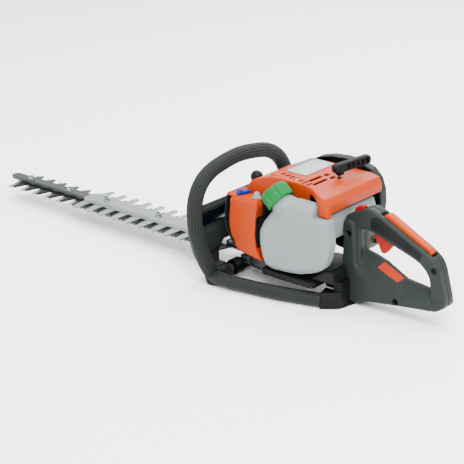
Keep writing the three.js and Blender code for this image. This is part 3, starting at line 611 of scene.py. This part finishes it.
REAR_MOUNT = [(-80, 52), (-80, 64, 4), (-110, 84, 6), (-125, 84, 8), (-126, 62, 3), (-84, 61)]
mount = prism("mount", rounded(REAR_MOUNT), "y", 30, 72)
detail(moulded(mount, 1.5, 4), BLACK, "engine_base", "rear_mount_cover")

# ---------------------------------------------------------------- starter housing
HOUSING_TOP_Z = 222
SLOT_DEPTH = 8
ROW_START = (25, 17)
ROW_STEP = (-11.7, 2.9)
LONG_SLOTS = ((-36, -16, 23), (-53, -9, 33), (-39, -34, -20), (-56, -29, -14))  # x, and y from and to
LONG_SLOT_WIDTH = 9


def slot_tool(outline):
    return prism("slot", rounded(outline), "z", HOUSING_TOP_Z - SLOT_DEPTH, HOUSING_TOP_Z + 4)


vent_bed = block("vent bed", (-20, 48), (10, 32), (HOUSING_TOP_Z - 2.4, HOUSING_TOP_Z))
housing = moulded(merged(cad("starter_housing"), vent_bed), 1.3, 11)
slots = []
for k in range(7):
    x, y = ROW_START[0] + ROW_STEP[0] * k, ROW_START[1] + ROW_STEP[1] * k
    slots.append(slot_tool([(x, y - 6), (x + 6, y - 8), (x + 8, y + 6), (x + 2, y + 8)]))
for x, low_y, high_y in LONG_SLOTS:
    far_x = x + LONG_SLOT_WIDTH
    slots.append(slot_tool([(x, low_y, 2), (far_x, low_y, 2), (far_x, high_y, 2), (x, high_y, 2)]))
dressed(smooth_shaded(cut(housing, *slots), 50), ORANGE, "starter_housing")

LABEL_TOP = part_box("label_plate")[1].z / MM + DATUM_Z
BAND = [(46, -34, 2), (43, -84, 2), (35, -84, 2), (37, -33, 2)]
dressed(bevelled(cad("label_plate"), 0.3, 2), LABEL, "label_plate")
band = prism("band", rounded(BAND), "z", LABEL_TOP - 0.2, LABEL_TOP + 0.25)
detail(band, LABEL_BAND, "label_plate", "label_band")

dressed(moulded(cad("starter_handle"), 0.8, 3), BLACK, "starter_handle")


def braid(ring, angle):
    return 1.75 + 0.14 * math.cos(3 * angle + ring * 0.9)


ROPE_RINGS = 31
low, high, foot = span("starter_rope")
rise = Vector((0, 0, high.z - low.z))
rope_path = [foot + rise * k / (ROPE_RINGS - 1) for k in range(ROPE_RINGS)]
rope = swept("rope", rope_path, braid, 18)
rope.name = "starter_rope_look"
rope.data.materials.append(ROPE)
smooth_shaded(rope)
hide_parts("starter_rope")
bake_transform(rope)

# ---------------------------------------------------------------- cylinder cover
dressed(moulded(cad("cylinder_cover"), 1.5, 6), DARK, "cylinder_cover")

# ---------------------------------------------------------------- air filter and controls
dressed(moulded(cad("air_filter_housing"), 1.5, 5), DARK, "air_filter_housing")
COVER_SIDE = ("y", 52, 86)  # the cutters of the cover's left side run through it
BITE = [(20, 71), (31, 72), (42, 90, 14), (46.5, 114, 20), (44.5, 150, 20), (41.5, 170), (20, 170)]
TOE = [(94, 97, 3), (104, 108), (125, 108), (125, 60), (91, 60), (91.5, 88, 6)]
CREASE = [(97, 97.5), (97, 96), (40, 98.6), (40, 100.1)]
TRAY_RIM = [(113, 30), (113.6, 73, 5), (98, 75.5), (98, 73.5), (110, 71, 4), (110.6, 30)]
bite = prism("bite", rounded(BITE), *COVER_SIDE)
toe = prism("toe", rounded(TOE), *COVER_SIDE)
crease = prism("crease", CREASE, "y", 79, 86)
tray_rim = prism("rim", rounded(TRAY_RIM), "z", 180, 186)
cover = cut(merged(cad("air_filter_cover"), tray_rim), bite, toe, crease)
dressed(moulded(cover, 0.9, 3), ORANGE, "air_filter_cover")

low, high, foot = span("cover_knob")
ball = (high.x - low.x) / 2 / MM
tall = (high.z - low.z) / MM
ball_angles = [-0.95 + 0.1875 * k for k in range(13)]
knob_profile = [(0, 0), (5.5, 0), (5.5, 1.5), (4.2, 3), (4.2, tall - 2 * ball + 3)]
knob_profile += [(ball * math.cos(a), tall - ball + ball * math.sin(a)) for a in ball_angles]
knob = turned("knob", knob_profile + [(0, tall)], foot, sides=56)
dressed(smooth_shaded(knob, 50), BLACK, "cover_knob")

BULB_PROFILE = [
    (0, 0), (9, 0), (9, 1.2), (8.6, 1.8), (7.4, 2.6), (6.6, 5), (5.4, 8), (4.0, 10.2), (2, 11.2), (0, 11.4),
]
low, high, foot = span("primer_bulb")
bulb = turned("bulb", BULB_PROFILE, foot, sides=48)
bulb.name = "primer_bulb_look"
bulb.data.materials.append(BULB)
smooth_shaded(bulb, 50)
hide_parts("primer_bulb")
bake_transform(bulb)

dressed(moulded(cad("choke_lever"), 0.6, 3), BLUE, "choke_lever")

# ---------------------------------------------------------------- fuel tank
TILT = math.atan2(0.78, 0.667)
CAP_AXIS = Vector((math.sin(TILT), 0, math.cos(TILT)))
NECK = at(-11, 70, 189)
SHOULDER = [(0, -16), (27, -14), (25, -6), (22.5, -1), (20.5, 3), (20.5, 15), (0, 15)]
shoulder = turned("shoulder", SHOULDER, NECK, CAP_AXIS, 48)
dressed(moulded(merged(cad("fuel_tank"), shoulder), 1.6, 18), TANK, "fuel_tank")

CAP_FLUTES = 8
FLUTE_DEPTH = 0.085
FIRST_FLUTED, LAST_FLUTED = 2, 13  # points of the cap's profile


def cap_ripple(angle, k):
    """Wide lands between narrow flutes round the cap's waist."""
    if not FIRST_FLUTED <= k <= LAST_FLUTED:
        return 1
    return 1 - FLUTE_DEPTH * max(0.0, math.cos(angle * CAP_FLUTES)) ** 4


cap_profile = [(21.3, 4.2), (25.6, 4.2), (26.3, 4.8), (26.9, 6.5)]
cap_profile += [(26.9 + 0.1 * math.sin(k), 6.5 + 2.1 * k) for k in range(1, 10)]
cap_profile += [(26.4, 28.2), (25.0, 31.2), (22.8, 32.8), (20, 33), (19, 31.8), (0, 31.4)]
cap = turned("cap", cap_profile, NECK, CAP_AXIS, 192, cap_ripple)
dressed(smooth_shaded(cap, 45), GREEN, "fuel_cap")

# ---------------------------------------------------------------- rear handle
SCREWS = [(-120, 144), (-296, 116), (-223, 40)]


def laid(name, corners, ground, lift, thick, across=14, along=8):
    """Thin plate between four corners that follows the surface of another object."""
    a, b, c, d = (at(*p) for p in corners)
    points, faces = [], []
    for layer in (lift - thick, lift):
        for i in range(across + 1):
            for j in range(along + 1):
                s, t = i / across, j / along
                spot = (a * (1 - t) + b * t) * (1 - s) + (d * (1 - t) + c * t) * s
                _, place, normal, _ = ground.closest_point_on_mesh(spot)
                points.append(place + normal * layer * MM)
    row = along + 1
    n = (across + 1) * row
    for i in range(across):
        for j in range(along):
            q = [i * row + j, i * row + j + 1, (i + 1) * row + j + 1, (i + 1) * row + j]
            faces += [q, [k + n for k in q][::-1]]
    edge = list(range(along)) + [i * row + along for i in range(across)]
    edge += [across * row + j for j in range(along, 0, -1)] + [i * row for i in range(across, 0, -1)]
    faces += [[p, q, q + n, p + n] for p, q in zip(edge, edge[1:] + edge[:1])]
    return from_faces(name, points, faces)


WELL = [(0, 0), (5.6, 0), (6.2, 9), (0, 9)]
HEAD = [(0, 0), (4.7, 0), (4.7, 1.6), (4.2, 2.1), (2.2, 2.1), (2.0, 0.8), (0, 0.7)]
INSET_OUTLINE = [
    (-163.5, 162, 3), (-164.5, 181.5, 7), (-178, 187, 4),
    (-272.5, 140, 4), (-268, 129, 4), (-215.6, 148, 12),
]
PATCH_CORNERS = [(-177, 12, 91), (-188, 4, 102), (-231, 4, 82), (-221, 12, 74)]
for side, word in SIDES:
    node = f"rear_handle_{word}"
    out_y = (0, side, 0)
    wells = [turned("well", WELL, at(x, side * 13.2, z), out_y, 32) for x, z in SCREWS]
    shell = moulded(cut(cad(node), *wells), 1.0, 4, 0.6)
    dressed(shell, HANDLE, node)
    for number, (x, z) in enumerate(SCREWS, 1):
        head = turned("head", HEAD, at(x, side * 13.1, z), out_y, 32)
        detail(smooth_shaded(head, 40), SCREW, node, f"handle_screw_{word}_{number}")
    inset = prism("inset", rounded(INSET_OUTLINE), "y", *sorted((side * 16.2, side * 17.5)))
    detail(bevelled(inset, 0.5, 2), INSET, node, f"grip_inset_{word}")
    if side > 0:
        patch = laid("patch", PATCH_CORNERS, shell, 0.4, 0.8)
        detail(smooth_shaded(patch, 40), PATCH, node, "handle_patch")
dressed(moulded(cad("throttle_trigger"), 0.7, 3), RED, "throttle_trigger")
dressed(moulded(cad("lockout_lever"), 0.7, 3), LOCKOUT, "lockout_lever")
dressed(moulded(cad("stop_switch"), 0.6, 3), RED, "stop_switch")

# ---------------------------------------------------------------- floor, light and camera
FLOOR_Z = -0.0004
FLOOR_WHITE = (0.93, 0.93, 0.93, 1)
WORLD_STRENGTH = 1.9
floor_mesh = bpy.data.meshes.new("floor")
floor_mesh.from_pydata([(-9, -9, 0), (9, -9, 0), (9, 9, 0), (-9, 9, 0)], [], [(0, 1, 2, 3)])
floor = new_object("floor", floor_mesh)
floor.location.z = FLOOR_Z
floor.data.materials.append(material("floor", FLOOR_WHITE, 0.7, grain=0.0, mottle=0.0))


def area(name, place, size, power, target=(0, 0, 0.1)):
    lamp = bpy.data.lights.new(name, "AREA")
    lamp.shape = "RECTANGLE"
    lamp.size, lamp.size_y = size
    lamp.energy = power
    obj = bpy.data.objects.new(name, lamp)
    bpy.context.scene.collection.objects.link(obj)
    obj.location = place
    obj.rotation_euler = (Vector(target) - Vector(place)).to_track_quat("-Z", "Y").to_euler()
    return obj


area("key", (-1.6, 1.2, 2.2), (1.6, 1.6), 170)
area("top", (0.4, -0.4, 2.6), (2.6, 2.0), 130)
area("fill", (1.6, 2.2, 1.0), (1.8, 1.4), 20)
area("back", (0.2, -2.2, 1.4), (2.0, 1.2), 50)
world = bpy.data.worlds.new("studio")
bpy.context.scene.world = world
world.use_nodes = True
background = world.node_tree.nodes["Background"]
background.inputs["Color"].default_value = (1, 1, 1, 1)
background.inputs["Strength"].default_value = WORLD_STRENGTH

CAMERA_PLACE = (-1.82106, 2.12604, 1.12530)
HEADING = math.radians(50.3655)
DIP = math.radians(21.0975)
camera_data = bpy.data.cameras.new("camera")
camera_data.lens = 120.55
camera_data.sensor_width = 36
camera = bpy.data.objects.new("camera", camera_data)
bpy.context.scene.collection.objects.link(camera)
camera.location = CAMERA_PLACE
look = Vector((math.cos(HEADING) * math.cos(DIP), -math.sin(HEADING) * math.cos(DIP), -math.sin(DIP)))
camera.rotation_euler = look.to_track_quat("-Z", "Y").to_euler()
bpy.context.scene.camera = camera
